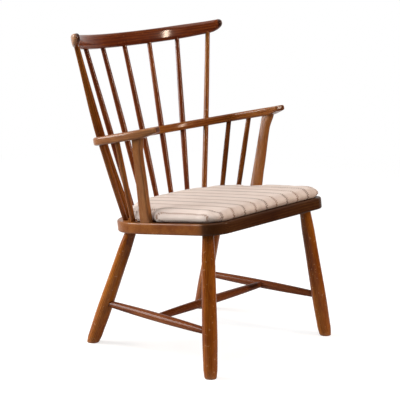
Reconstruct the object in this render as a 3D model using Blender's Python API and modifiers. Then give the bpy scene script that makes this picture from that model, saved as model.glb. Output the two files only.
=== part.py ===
"""Windsor armchair with a loose seat cushion, in metres, +Z up, its front towards -Y.

The origin lies on the floor, midway between the front legs and the back of the crest rail.
Three tilted planes carry the sticks: the top of the seat, the arm bow and the crest rail.
"""

import math

import bmesh
import bpy
import numpy as np
from mathutils import Matrix, Vector

# Fits
fitGap = 0.0003  # every piece keeps this to its neighbour
stickSocket = 0.010  # depth of the sticks in the seat, along the stick
legSocket = 0.013  # depth of the legs in the seat, square to the seat
crestEntry = 0.003  # how far the body of a stick enters the crest rail
crestSocket = 0.018  # how far its thinner tenon does
armSocket = 0.012  # depth of the short sticks and posts in the arm bow

# Seat board, measured along its own slope
seatHeight = 0.3740  # top of the board above the floor, at the origin
seatTilt = math.radians(7.6)
seatThickness = 0.0315
seatHalfWidth = 0.2435
seatFront = 0.2845  # front edge, in front of the origin
seatBack = 0.1640  # middle of its back edge, behind the origin
seatSideEnd = 0.0625  # the curved back starts this far in front of the origin
seatCurve = 3.2  # exponent of the curved back
seatCorner = 0.054
seatEdge = 0.0045  # rounding of its edges

# Feet of the sticks, on a curve of their own inside the edge of the seat
footInsetSide = 0.0110
footInsetBack = 0.0225
footCurve = 2.8
backFootSpacing = 0.0575  # of the round sticks, along that curve from the middle of the back
stileFootSpacing = 0.0510  # from the last round stick to the outer one
backHeadSpacing = 0.0980  # along the crest rail from its middle
stickFoot = 0.0072  # radii of the round sticks
stickMiddle = 0.0085
stickHead = 0.0067
stickTenon = 0.0050  # radius inside the crest rail
stileFootWide = 0.0105  # half widths of the outer sticks across the crest
stileMiddleWide = 0.0126
stileHeadWide = 0.0076
stileThick = 0.0078  # and along it
stileHeadThick = 0.0068
stileOut = 0.2186  # where the outer sticks pass the arm bow: across
stileBehind = 0.1544  # and behind the origin, along the bow's slope
stileFootInset = 0.0045  # its foot is set in from the curve by this much

# Arm sticks and posts: foot along the same curve and set out from it, top across and behind the origin
rearStick = {"foot": 0.219, "out": 0.0045, "across": 0.2715, "behind": 0.1079}
frontStick = {"foot": 0.268, "out": 0.0, "across": 0.2800, "behind": 0.0369}
armPost = {"foot": 0.327, "out": 0.0, "across": 0.2780, "behind": -0.0391}
armTip = {"across": 0.2595, "behind": -0.0975}
armStickEnd = 0.0070
armStickMiddle = 0.0077
postThickness = 0.0175
postFootFlare = 0.0045  # its foot widens forwards by this much
postDepthFoot = 0.0350
postDepthMiddle = 0.0325
postDepthWaist = 0.0275
postDepthTop = 0.0345
postTenon = 0.0075

# Arm bow
armHeight = 0.6140  # middle of the bow above the floor, at the origin
armTilt = math.radians(13.0)
armThickness = 0.0235
armWidth = 0.0320
armTipThickness = 0.0155
armTipRound = 0.0040  # how far back from its end a tip is rounded
armTipFlat = 0.80  # share of the section that the end face keeps

# Crest rail
crestHeight = 0.8315  # its middle above the floor, at the centre
crestBehind = 0.2766
crestTilt = math.radians(14.0)
crestRadius = 0.600  # of its curve at the centre
crestTightening = 0.255  # how much more it has turned at the outer stick, in radians
crestHookRadius = 0.056
crestEnd = math.radians(78.0)  # how far the hooked ends have turned
crestHookStart = 0.0120  # the hook starts this far beyond the outer stick
crestTall = 0.0405
crestTallEnd = 0.0350
crestThickness = 0.0200
crestEndRound = 0.0095  # of the upper corner of its ends
crestEndRise = 0.0225  # their underside curves up by this much
crestRiseLength = 0.0440  # over this length
crestEndFlat = 0.45  # share of its thickness left at the very end

# Legs, from the floor to the underside of the seat
frontLegFoot = (0.2540, -0.2720)
frontLegTop = (0.2093, -0.2241)
backLegFoot = (0.2310, 0.1850)
backLegTop = (0.1875, 0.0727)
legFootRadius = 0.0166
legLowRadius = 0.0190
legWidest = 0.0203
legNeckRadius = 0.0182
legTopRadius = 0.0155

# Stretchers
stretcherHeight = 0.1185
crossBehind = -0.0580
stretcherMiddle = 0.01225
stretcherEnd = 0.0088
stretcherTenon = 0.012  # how far a side stretcher reaches into a leg
crossTenon = 0.007  # how far the cross stretcher reaches into a side stretcher

# Cushion, measured along the seat
cushionThick = 0.027  # at its front edge
cushionThickBack = 0.039
cushionCrown = 0.003
cushionSetBack = 0.0055  # from the front and side edges of the seat
cushionCorner = 0.046
cushionClear = 0.0030  # to the sticks and posts
cushionEar = 0.0085  # how far it reaches out again behind the posts
cushionRoll = 0.019  # rounding of its front edge
cushionRollBack = 0.010

woodColour = (0.172, 0.058, 0.022, 1.0)
fabricColour = (0.760, 0.640, 0.520, 1.0)


def clearScene():
    for thing in list(bpy.data.objects):
        bpy.data.objects.remove(thing)


def makeCollection(name):
    collection = bpy.data.collections.new(name)
    bpy.context.scene.collection.children.link(collection)
    return collection


def makeMaterial(name, colour, roughness):
    material = bpy.data.materials.new(name)
    material.use_nodes = True
    shader = material.node_tree.nodes["Principled BSDF"]
    shader.inputs["Base Color"].default_value = colour
    shader.inputs["Roughness"].default_value = roughness
    shader.inputs["Metallic"].default_value = 0.0
    material.diffuse_color = colour
    return material


def tiltedPlane(height, behind, tilt):
    """Matrix of a plane that falls towards the back."""
    return Matrix.Translation((0, behind, height)) @ Matrix.Rotation(-tilt, 4, "X")


def meet(start, direction, plane, above=0.0):
    """Where a straight line meets a level above or below a plane."""
    normal = plane.to_3x3() @ Vector((0, 0, 1))
    point = plane.translation + normal * above
    return start + direction * ((point - start).dot(normal) / direction.dot(normal))


def alongLine(start, end):
    """Matrix with its origin at the start and its Z towards the end."""
    turn = (end - start).to_track_quat("Z", "Y").to_matrix().to_4x4()
    return Matrix.Translation(start) @ turn


def mirrored(point, side):
    return Vector((point.x * side, point.y, point.z))


def spaced(points, distances):
    """Points of a polyline at the given distances from its start."""
    points = np.array([tuple(p) for p in points])
    steps = np.linalg.norm(np.diff(points, axis=0), axis=1)
    along = np.concatenate([[0], np.cumsum(steps)])
    return [Vector([np.interp(d, along, points[:, axis]) for axis in range(3)]) for d in distances]


def lengthOf(points):
    return sum((b - a).length for a, b in zip(points, points[1:]))


def smoothThrough(points, steps):
    """A Catmull-Rom curve through the points."""
    ends = [2 * points[0] - points[1]] + list(points) + [2 * points[-1] - points[-2]]
    curve = []
    for p0, p1, p2, p3 in zip(ends, ends[1:], ends[2:], ends[3:]):
        for i in range(steps):
            t = i / steps
            pull = (p2 - p0) * t + (2 * p0 - 5 * p1 + 4 * p2 - p3) * t * t
            curve.append((2 * p1 + pull + (3 * p1 - p0 - 3 * p2 + p3) * t**3) / 2)
    return curve + [points[-1].copy()]


def eased(t, stops):
    """A smooth value at t through (place, value) stops."""
    for (a, first), (b, second) in zip(stops, stops[1:]):
        if t <= b:
            share = max(0.0, (t - a) / (b - a))
            return first + (second - first) * (3 - 2 * share) * share**2
    return stops[-1][1]


def addMesh(name, mesh, material, collection):
    thing = bpy.data.objects.new(name, mesh)
    collection.objects.link(thing)
    if material:
        mesh.materials.append(material)
    else:
        thing.hide_render = True
        thing.display_type = "WIRE"
    return thing


def turned(name, profile, sides, start, end, material, collection):
    """A turned piece on the line from start to end, from (height, radius) pairs that run up it."""
    points = [(0, profile[-1][0])] + [(r, z) for z, r in reversed(profile)] + [(0, profile[0][0])]
    mesh = bpy.data.meshes.new(name)
    mesh.from_pydata([(r, 0, z) for r, z in points], [(i, i + 1) for i in range(len(points) - 1)], [])
    thing = addMesh(name, mesh, material, collection)
    screw = thing.modifiers.new("turned", "SCREW")
    screw.axis = "Z"
    screw.steps = sides
    screw.render_steps = sides
    screw.use_merge_vertices = True
    screw.merge_threshold = 0.00001
    screw.use_smooth_shade = True
    thing.matrix_world = alongLine(start, end)
    return thing


def grown(profile, gap):
    """The profile of the hole that a turned piece fits, wider and longer by the gap."""
    wider = [(z, r + gap) for z, r in profile]
    wider[0] = (profile[0][0] - gap, wider[0][1])
    wider[-1] = (profile[-1][0] + gap, wider[-1][1])
    return wider


def loft(name, rings, origin, material, collection):
    """A closed skin through unlike sections with as many points each, with a flat cap on each end."""
    mesh = bpy.data.meshes.new(name)
    shape = bmesh.new()
    rows = [[shape.verts.new(point - origin) for point in ring] for ring in rings]
    count = len(rings[0])
    for lower, upper in zip(rows, rows[1:]):
        for i in range(count):
            k = (i + 1) % count
            shape.faces.new((lower[i], lower[k], upper[k], upper[i]))
    shape.faces.new(rows[0])
    shape.faces.new(rows[-1])
    bmesh.ops.recalc_face_normals(shape, faces=shape.faces)
    shape.to_mesh(mesh)
    shape.free()
    mesh.shade_smooth()
    mesh.set_sharp_from_angle(angle=math.radians(35))
    thing = addMesh(name, mesh, material, collection)
    thing.location = origin
    return thing


def box(name, size, place, collection):
    """A hidden cutter block, placed by a matrix."""
    mesh = bpy.data.meshes.new(name)
    shape = bmesh.new()
    bmesh.ops.create_cube(shape, size=1, matrix=Matrix.Diagonal((*size, 1)))
    shape.to_mesh(mesh)
    shape.free()
    cutter = addMesh(name, mesh, None, collection)
    cutter.matrix_world = place
    return cutter


def cut(thing, cutters):
    for cutter in cutters:
        hole = thing.modifiers.new("cut", "BOOLEAN")
        hole.operation = "DIFFERENCE"
        hole.solver = "EXACT"
        hole.object = cutter


def curvedBack(halfWidth, reach, exponent, front):
    """A superellipse from the middle of the back to the right side, then straight forward."""
    points = []
    for angle in np.linspace(0, math.pi / 2, 90):
        x = halfWidth * math.sin(angle) ** (2 / exponent)
        y = (reach + seatSideEnd) * max(0.0, math.cos(angle)) ** (2 / exponent) - seatSideEnd
        points.append(Vector((x, y, 0)))
    return points + [Vector((halfWidth, -front, 0))]


def crestLine():
    """The crest's middle line from its centre to the right tip, in its own plane.

    Its heading is s / crestRadius + crestTightening * (s / outer stick)^3, then it turns on the hook radius.
    """
    outer = 3 * backHeadSpacing
    step = outer / 300
    points = [Vector((0, 0, 0))]
    heading = 0.0
    along = 0.0
    while heading < crestEnd:
        along += step
        if along < outer + crestHookStart:
            heading = along / crestRadius + crestTightening * (along / outer) ** 3
        else:
            heading += step / crestHookRadius
        points.append(points[-1] + step * Vector((math.cos(heading), -math.sin(heading), 0)))
    return points


def section(width, height, roundness, count):
    """Points round a superellipse, as (sideways, up)."""
    points = []
    for i in range(count):
        angle = math.tau * (i + 0.5) / count
        c, s = math.cos(angle), math.sin(angle)
        sideways = width / 2 * math.copysign(abs(c) ** (2 / roundness), c)
        points.append((sideways, height / 2 * math.copysign(abs(s) ** (2 / roundness), s)))
    return points


def sweep(curve, plane, sectionAt):
    """Rings of a section carried along a curve in a plane, the section a function of the way to each end."""
    rings = []
    length = lengthOf(curve)
    along = 0.0
    for i, point in enumerate(curve):
        before, after = curve[max(i - 1, 0)], curve[min(i + 1, len(curve) - 1)]
        along += (point - curve[max(i - 1, 0)]).length
        side = (after - before).normalized().cross(Vector((0, 0, 1)))
        ring = [point + side * w + Vector((0, 0, h)) for w, h in sectionAt(along, length - along)]
        rings.append([plane @ p for p in ring])
    return rings


def quarter(distance, length):
    """A quarter circle's fall towards a tip: none from this length on, all of it at the tip."""
    return 1 - math.sqrt(1 - max(0.0, 1 - distance / length) ** 2)


def withTips(curve, nearTip):
    """The same line, with extra points close to both tips."""
    length = lengthOf(curve)
    along = [sum((b - a).length for a, b in zip(curve[:i], curve[1 : i + 1])) for i in range(len(curve))]
    middle = [a for a in along if nearTip[-1] < a < length - nearTip[-1]]
    return spaced(curve, list(nearTip) + middle + [length - d for d in reversed(nearTip)])


seatPlane = tiltedPlane(seatHeight, 0, seatTilt)
armPlane = tiltedPlane(armHeight, 0, armTilt)
crestPlane = tiltedPlane(crestHeight, crestBehind, crestTilt)
footLine = curvedBack(seatHalfWidth - footInsetSide, seatBack - footInsetBack, footCurve, seatFront)


def footAt(along, out):
    """A foot on the curve of feet, or set out from it."""
    before, place, after = spaced(footLine, [max(0, along - stickFoot), along, along + stickFoot])
    return place + (after - before).normalized().cross(Vector((0, 0, -1))) * out


def stileFoot():
    return footAt(2 * backFootSpacing + stileFootSpacing, -stileFootInset)


def backSpindleLines():
    """Foot on the seat and head on the crest's middle line, from the right hand to the left."""
    feet = [footAt(i * backFootSpacing, 0) for i in range(3)] + [stileFoot()]
    heads = spaced(crestLine(), [i * backHeadSpacing for i in range(4)])
    lines = []
    for i in range(-3, 4):
        side = -1 if i < 0 else 1
        lines.append((seatPlane @ mirrored(feet[abs(i)], side), crestPlane @ mirrored(heads[abs(i)], side)))
    return lines


def armLine(sizes, side):
    foot = footAt(sizes["foot"], sizes["out"])
    top = Vector((sizes["across"] * side, sizes["behind"], 0))
    return seatPlane @ mirrored(foot, side), armPlane @ top


def makeRoundStick(name, foot, head, endLevel, middleAt, radii, tenon, parts, cutters, wood):
    """A round stick and the cutter for its sockets. It swells to its middle radius at middleAt."""
    direction = (head - foot).normalized()
    length = (endLevel - foot).length
    start = foot - direction * stickSocket
    first, middle, last = radii
    stops = [(0, first), (middleAt, middle), (length, last)]
    profile = [(0, first)]
    for i in range(9):
        z = length * i / 8
        profile.append((stickSocket + z, eased(z, stops)))
    profile[-1] = (stickSocket + length + tenon[0], last)
    if tenon[1] != last:
        profile.append((stickSocket + length + tenon[0], tenon[1]))
        profile.append((stickSocket + length + tenon[2], tenon[1]))
    stick = turned(name, profile, 12, start, endLevel, wood, parts)
    cutter = turned("cut_" + name, grown(profile, fitGap), 12, start, endLevel, None, cutters)
    return stick, cutter


def makeStile(name, foot, passing, head, side, parts, cutters, wood):
    """An outer stick: an oval that is widest across the crest, gently bent where it passes the arm bow."""
    curve = smoothThrough([foot, passing, head], 8)
    down = (curve[0] - curve[1]).normalized()
    up = (curve[-1] - curve[-2]).normalized()
    outer = spaced(crestLine(), [3 * backHeadSpacing - crestEntry, 3 * backHeadSpacing + crestEntry])
    heading = mirrored(outer[1] - outer[0], side)
    across = (crestPlane.to_3x3() @ heading).cross(crestPlane.to_3x3() @ Vector((0, 0, 1))).normalized()
    below = meet(curve[-1], up, crestPlane, -crestTall / 2)
    total = lengthOf(curve)
    bowAt = lengthOf(curve[:9])
    pieces = []
    for gap, title, material, home in ((0, name, wood, parts), (fitGap, "cut_" + name, None, cutters)):
        path = [curve[0] + down * (stickSocket + gap)]
        path += [p for p in curve if (p - foot).length < (below - foot).length - crestEntry]
        path += [below + up * crestEntry, below + up * crestEntry, below + up * (crestSocket + gap)]
        rings = []
        along = 0.0
        for i, point in enumerate(path):
            if i:
                along += (point - path[i - 1]).length
            tangent = (path[min(i + 1, len(path) - 1)] - path[max(i - 1, 0)]).normalized()
            long = (across - tangent * across.dot(tangent)).normalized()
            wide = eased(along, [(0, stileFootWide), (bowAt, stileMiddleWide), (total, stileHeadWide)])
            thick = eased(along, [(0, stileThick), (bowAt, stileThick), (total, stileHeadThick)])
            if i >= len(path) - 2:
                wide = thick = stickTenon
            short = tangent.cross(long)
            ring = []
            for k in range(16):
                angle = math.tau * k / 16
                sideways = long * (math.cos(angle) * (wide + gap))
                ring.append(point + sideways + short * (math.sin(angle) * (thick + gap)))
            rings.append(ring)
        pieces.append(loft(title, rings, foot, material, home))
    return pieces


def makePost(name, foot, top, side, parts, cutters, wood):
    """An arm post: a rounded oblong, narrowed in front below the arm, with a round tenon on each end."""
    direction = (top - foot).normalized()
    bottomEnd = foot - direction * stickSocket
    topEnd = meet(foot, direction, armPlane, -armThickness / 2 + armSocket)
    deep = Vector((0, 1, 0))
    deep = (deep - direction * deep.dot(direction)).normalized()
    thick = deep.cross(direction)
    depths = [
        (0, postDepthFoot + postFootFlare),
        (0.12, postDepthFoot),
        (0.35, postDepthMiddle),
        (0.84, postDepthWaist),
        (1, postDepthTop),
    ]

    def ring(plane, above, depth):
        """The post's section where it meets a level, with its back edge kept straight."""
        points = []
        for w, h in section(depth, postThickness, 3.4, 20):
            back = (postDepthFoot - depth) / 2
            start = foot + deep * (w + back) + thick * h
            points.append(meet(start, direction, plane, above))
        return points

    def round(start, radius):
        return [
            start + radius * (deep * math.cos(a) + thick * math.sin(a))
            for a in (math.tau * (i + 0.5) / 20 for i in range(20))
        ]

    def tenonRing(plane, above, radius):
        return [meet(p, direction, plane, above) for p in round(foot, radius)]

    underside = -armThickness / 2 - fitGap
    rings = [round(bottomEnd, postTenon), tenonRing(seatPlane, fitGap, postTenon)]
    rings.append(ring(seatPlane, fitGap, postDepthFoot + postFootFlare))
    low = (meet(foot, direction, armPlane, underside) - foot).length
    for share in (0.035, 0.07, 0.12, 0.22, 0.35, 0.5, 0.65, 0.76, 0.84, 0.89, 0.93, 0.97):
        level = Matrix.Translation(foot + direction * low * share)
        rings.append(ring(level, 0, eased(share, depths)))
    rings.append(ring(armPlane, underside, postDepthTop))
    rings.append(tenonRing(armPlane, underside, postTenon))
    rings.append(round(topEnd, postTenon))
    post = loft(name, rings, foot, wood, parts)
    length = (topEnd - bottomEnd).length
    profile = grown([(0, postTenon), (length, postTenon)], fitGap)
    cutter = turned("cut_" + name, profile, 20, bottomEnd, topEnd, None, cutters)
    return post, cutter


def makeLeg(name, foot, top, floorBlock, seatBlock, seatBlockCut, parts, cutters, wood):
    """A turned leg on its splayed axis, cut flat at the floor and, inside the seat, parallel to the seat."""
    direction = (top - foot).normalized()
    length = (meet(foot, direction, seatPlane, -seatThickness) - foot).length
    past = seatThickness * 1.5
    shape = (
        (0.0, legFootRadius),
        (0.07, legLowRadius),
        (0.28, legWidest),
        (0.80, legNeckRadius),
        (1.0, legTopRadius),
    )
    profile = [(0, legFootRadius)]
    for share in (0, 0.02, 0.045, 0.08, 0.15, 0.22, 0.30, 0.42, 0.55, 0.68, 0.80, 0.88, 0.94, 1.0):
        profile.append((past + share * length, eased(share, shape)))
    profile.append((past * 2 + length, legTopRadius))
    start = foot - direction * past
    end = foot + direction * length
    leg = turned(name, profile, 24, start, end, wood, parts)
    cut(leg, [floorBlock, seatBlock])
    cutter = turned("cut_" + name, [(z, r + fitGap) for z, r in profile], 24, start, end, None, cutters)
    cut(cutter, [seatBlockCut])
    return leg, cutter


def makeStretcher(name, start, end, parts, cutters, wood):
    """A turned stretcher that swells to its middle, and the cutter for its sockets."""
    length = (end - start).length
    profile = []
    for i in range(11):
        share = i / 10
        swell = math.sin(math.pi * share) ** 0.8
        profile.append((length * share, stretcherEnd + (stretcherMiddle - stretcherEnd) * swell))
    stretcher = turned(name, profile, 16, start, end, wood, parts)
    cutter = turned("cut_" + name, grown(profile, fitGap), 16, start, end, None, cutters)
    return stretcher, cutter


def makeSeat(parts, wood):
    """The board: its outline as a flat curve with rounded edges, made a mesh before its sockets are cut."""
    outline = []
    for angle in np.linspace(0, math.pi / 2, 9):
        x = seatHalfWidth - seatCorner * (1 - math.sin(angle))
        outline.append((x, -seatFront + seatCorner * (1 - math.cos(angle))))
    back = curvedBack(seatHalfWidth, seatBack, seatCurve, seatFront)[:-1]
    back = spaced(back, np.linspace(0, lengthOf(back), 18))
    outline += [(p.x, p.y) for p in reversed(back)]
    outline += [(-x, y) for x, y in reversed(outline[:-1])]
    curve = bpy.data.curves.new("seat_outline", "CURVE")
    curve.dimensions = "2D"
    curve.fill_mode = "BOTH"
    curve.extrude = seatThickness / 2 - seatEdge
    curve.bevel_depth = seatEdge
    curve.bevel_resolution = 1
    curve.offset = -seatEdge
    spline = curve.splines.new("POLY")
    spline.points.add(len(outline) - 1)
    for point, (x, y) in zip(spline.points, outline):
        point.co = (x, y, -seatThickness / 2, 1)
    spline.use_cyclic_u = True
    guide = bpy.data.objects.new("seat_outline", curve)
    parts.objects.link(guide)
    graph = bpy.context.evaluated_depsgraph_get()
    mesh = bpy.data.meshes.new_from_object(guide.evaluated_get(graph))
    bpy.data.objects.remove(guide)
    shape = bmesh.new()
    shape.from_mesh(mesh)
    bmesh.ops.remove_doubles(shape, verts=shape.verts, dist=0.00002)
    bmesh.ops.recalc_face_normals(shape, faces=shape.faces)
    shape.to_mesh(mesh)
    shape.free()
    mesh.materials.clear()
    mesh.shade_smooth()
    mesh.set_sharp_from_angle(angle=math.radians(50))
    seat = addMesh("seat", mesh, wood, parts)
    seat.matrix_world = seatPlane
    return seat


def makeArmBow(backs, passings, arms, parts, wood):
    """One bent piece from tip to tip, through every stick that it holds, thinner towards its raised tips."""
    inside = armPlane.inverted()
    held = [inside @ meet(foot, (head - foot).normalized(), armPlane) for foot, head in backs]
    held[0] = inside @ passings[0]
    held[-1] = inside @ passings[1]
    right = [inside @ top for foot, top, side in arms if side < 0]
    left = [inside @ top for foot, top, side in arms if side > 0]
    tips = [Vector((side * armTip["across"], armTip["behind"], 0)) for side in (-1, 1)]
    armTaper = (right[2] - tips[0]).length - postDepthTop / 2
    curve = smoothThrough([tips[0]] + right[::-1] + held + left + [tips[1]], 4)
    tips = [armTipRound * share for share in (0, 0.12, 0.4, 1, 3)]
    curve = withTips(curve, tips)

    def armSection(fromStart, toEnd):
        tip = min(fromStart, toEnd)
        high = armTipThickness + (armThickness - armTipThickness) * min(1.0, tip / armTaper)
        drop = (1 - armTipFlat) * quarter(tip, armTipRound)
        lift = (armThickness - high) / 2
        ring = section(armWidth * (1 - drop), high - armTipThickness * drop, 4.2, 16)
        return [(w, h + lift) for w, h in ring]

    return loft("arm_bow", sweep(curve, armPlane, armSection), armPlane.translation, wood, parts)


def makeCrest(parts, wood):
    """The steam-bent crest rail, lower towards its hooked and rounded ends."""
    half = crestLine()
    length = lengthOf(half)
    outer = 3 * backHeadSpacing
    places = list(np.linspace(0, outer * 0.9, 12)) + list(np.linspace(outer * 0.96, length, 12))
    right = spaced(half, places)
    curve = [mirrored(p, -1) for p in reversed(right[1:])] + right
    curve = withTips(curve, [crestRiseLength * share for share in (0, 0.02, 0.06, 0.12, 0.22, 0.4, 0.65, 1)])

    def crestSection(fromStart, toEnd):
        tip = min(fromStart, toEnd)
        high = eased(tip, [(0, crestTallEnd), (length * 0.45, crestTall)])
        upper = high / 2 - crestEndRound * quarter(tip, crestEndRound)
        lower = crestEndRise * quarter(tip, crestRiseLength) - high / 2
        wide = crestThickness * (1 - (1 - crestEndFlat) * quarter(tip, crestEndRound))
        return [(w, h + (upper + lower) / 2) for w, h in section(wide, upper - lower, 3.4, 20)]

    return loft("crest_rail", sweep(curve, crestPlane, crestSection), crestPlane.translation, wood, parts)


def clearOfSticks(point):
    """A point of the cushion's outline, moved off any stick that stands too close."""
    feet = [(footAt(i * backFootSpacing, 0), stickFoot) for i in (1, 2)]
    feet.append((stileFoot(), stileFootWide))
    feet += [(footAt(arm["foot"], arm["out"]), armStickEnd) for arm in (rearStick, frontStick)]
    for foot, radius in feet:
        away = point - foot
        if away.length < radius + cushionClear:
            point = foot + away.normalized() * (radius + cushionClear)
    return point


def cushionOutline():
    """Right half of the cushion's outline on the seat, from the middle of its front to its back."""
    wide = seatHalfWidth - cushionSetBack
    front = -seatFront + cushionSetBack
    (post, stick) = spaced(footLine, [armPost["foot"], frontStick["foot"]])
    inner = post.x - postThickness / 2 - cushionClear
    reach = postDepthFoot / 2 + cushionClear
    stickClear = armStickEnd + cushionClear
    points = [Vector((x, front, 0)) for x in np.linspace(0, wide - cushionCorner, 6)[:-1]]
    for angle in np.linspace(0, math.pi / 2, 7):
        x = wide - cushionCorner * (1 - math.sin(angle))
        points.append(Vector((x, front + cushionCorner * (1 - math.cos(angle)), 0)))
    before = post.y - reach - postFootFlare
    notch = before - cushionClear
    sideTo = notch - cushionClear * 3
    points += [Vector((wide, y, 0)) for y in np.linspace(front + cushionCorner, sideTo, 5)[1:]]
    points.append(Vector((wide - cushionClear, notch, 0)))
    points.append(Vector((inner + cushionClear, before, 0)))
    points.append(Vector((inner, post.y - reach / 2, 0)))
    points.append(Vector((inner, post.y + reach / 2, 0)))
    points.append(Vector((inner + cushionClear, post.y + reach, 0)))
    points.append(Vector((inner + cushionEar, post.y + reach + cushionClear, 0)))
    points.append(Vector((inner + cushionEar, stick.y - stickClear - cushionClear, 0)))
    points.append(Vector((inner + cushionEar / 2, stick.y - stickClear, 0)))
    clear = stickFoot + cushionClear
    back = curvedBack(footLine[-1].x - clear, footLine[0].y - clear, footCurve, seatFront)
    back = [p for p in reversed(back[:-1]) if p.y > stick.y - armStickEnd]
    points += spaced(back, np.linspace(0, lengthOf(back), 16))
    return [clearOfSticks(p) for p in points]


def makeCushion(parts, fabric):
    """A stuffed pad with a crown and drawn-in sides, notched round the posts, from a cage with a Subdivision."""
    right = cushionOutline()
    outline = right + [mirrored(p, -1) for p in reversed(right[1:-1])]
    middle = Vector((0, -seatSideEnd, 0))
    front = min(point.y for point in outline)
    back = max(point.y for point in outline)
    levels = [
        (0.60, 0, 0, 0),
        (1, 0.40, 0, 0),
        (1, 0.08, 0.17, 0),
        (1, 0, 0.42, 0),
        (1, 0.10, 0.67, 0),
        (1, 0.42, 0.90, 0),
        (1, 1, 1, 0),
        (0.80, 0, 1, 0.6),
        (0.45, 0, 1, 1),
    ]
    rings = []
    for scale, inset, rise, crown in levels:
        ring = []
        for point in outline:
            out = point - middle
            roll = cushionRoll + (cushionRollBack - cushionRoll) * (point.y - front) / (back - front)
            place = middle + out * scale - out.normalized() * (inset * roll)
            thick = cushionThick + (cushionThickBack - cushionThick) * (place.y - front) / (back - front)
            ring.append(seatPlane @ (place + Vector((0, 0, fitGap + thick * rise + cushionCrown * crown))))
        rings.append(ring)
    return loft("seat_cushion", rings, seatPlane @ Vector((0, 0, fitGap)), fabric, parts)


def main():
    clearScene()
    parts = makeCollection("windsor_armchair")
    cutters = makeCollection("cutters")
    wood = {}
    for name in ("seat", "legs", "stretchers", "spindles", "posts", "bow", "crest"):
        wood[name] = makeMaterial(f"stained_wood_{name}", woodColour, 0.32)
    fabric = makeMaterial("striped_twill", fabricColour, 0.9)

    seat = makeSeat(parts, wood["seat"])
    seatCuts, bowCuts, crestCuts = [], [], []

    backs = backSpindleLines()
    passings = [armPlane @ Vector((side * stileOut, stileBehind, 0)) for side in (-1, 1)]
    for i, (foot, head) in enumerate(backs):
        if i in (0, 6):
            side = -1 if i == 0 else 1
            name = "back_stile_right" if i == 0 else "back_stile_left"
            stick, cutter = makeStile(name, foot, passings[i // 6], head, side, parts, cutters, wood["spindles"])
        else:
            direction = (head - foot).normalized()
            underside = meet(foot, direction, crestPlane, -crestTall / 2)
            middleAt = (meet(foot, direction, armPlane) - foot).length
            radii = (stickFoot, stickMiddle, stickHead)
            tenon = (crestEntry, stickTenon, crestSocket)
            stick, cutter = makeRoundStick(
                f"back_spindle_{i}", foot, head, underside, middleAt, radii, tenon, parts, cutters, wood["spindles"]
            )
        seatCuts.append(cutter)
        bowCuts.append(cutter)
        crestCuts.append(cutter)

    arms = []
    for side, hand in ((-1, "right"), (1, "left")):
        for kind, sizes in (("rear", rearStick), ("front", frontStick)):
            foot, top = armLine(sizes, side)
            arms.append((foot, top, side))
            direction = (top - foot).normalized()
            underside = meet(foot, direction, armPlane, -armThickness / 2)
            middleAt = (underside - foot).length * 0.55
            radii = (armStickEnd, armStickMiddle, armStickEnd)
            tenon = (armSocket, armStickEnd, armSocket)
            name = f"arm_spindle_{kind}_{hand}"
            stick, cutter = makeRoundStick(
                name, foot, top, underside, middleAt, radii, tenon, parts, cutters, wood["spindles"]
            )
            seatCuts.append(cutter)
            bowCuts.append(cutter)
        foot, top = armLine(armPost, side)
        arms.append((foot, top, side))
        post, cutter = makePost(f"arm_post_{hand}", foot, top, side, parts, cutters, wood["posts"])
        seatCuts.append(cutter)
        bowCuts.append(cutter)

    floorBlock = box("cut_floor", (1, 1, 0.1), Matrix.Translation((0, 0, -0.05)), cutters)
    thick = 0.1
    inSeat = seatPlane @ Matrix.Translation((0, 0, -seatThickness + legSocket + thick / 2))
    seatBlock = box("cut_leg_tops", (1, 1, thick), inSeat, cutters)
    inSeatCut = inSeat @ Matrix.Translation((0, 0, fitGap))
    seatBlockCut = box("cut_leg_sockets", (1, 1, thick), inSeatCut, cutters)
    legs = {}
    for end, feet, tops in (("front", frontLegFoot, frontLegTop), ("back", backLegFoot, backLegTop)):
        for side, hand in ((-1, "right"), (1, "left")):
            foot = Vector((feet[0] * side, feet[1], 0))
            level = Vector((tops[0] * side, tops[1], 0))
            top = meet(level, Vector((0, 0, 1)), seatPlane, -seatThickness)
            leg, cutter = makeLeg(
                f"leg_{end}_{hand}", foot, top, floorBlock, seatBlock, seatBlockCut, parts, cutters, wood["legs"]
            )
            legs[end, side] = (leg, foot, (top - foot).normalized())
            seatCuts.append(cutter)

    level = Matrix.Translation((0, 0, stretcherHeight))
    sides = {}
    for side, hand in ((-1, "right"), (1, "left")):
        frontLeg, frontFoot, frontWay = legs["front", side]
        backLeg, backFoot, backWay = legs["back", side]
        start = meet(frontFoot, frontWay, level)
        end = meet(backFoot, backWay, level)
        way = (end - start).normalized()
        inset = legWidest - stretcherTenon
        stretcher, cutter = makeStretcher(
            f"stretcher_{hand}", start + way * inset, end - way * inset, parts, cutters, wood["stretchers"]
        )
        cut(frontLeg, [cutter])
        cut(backLeg, [cutter])
        share = (crossBehind - start.y) / (end.y - start.y)
        sides[side] = (stretcher, start + (end - start) * share)
    inset = Vector((stretcherMiddle - crossTenon, 0, 0))
    cross, cutter = makeStretcher(
        "stretcher_cross", sides[-1][1] + inset, sides[1][1] - inset, parts, cutters, wood["stretchers"]
    )
    for stretcher, place in sides.values():
        cut(stretcher, [cutter])

    cut(seat, seatCuts)
    cut(makeArmBow(backs, passings, arms, parts, wood["bow"]), bowCuts)
    cut(makeCrest(parts, wood["crest"]), crestCuts)
    makeCushion(parts, fabric)


main()
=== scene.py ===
import math

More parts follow.
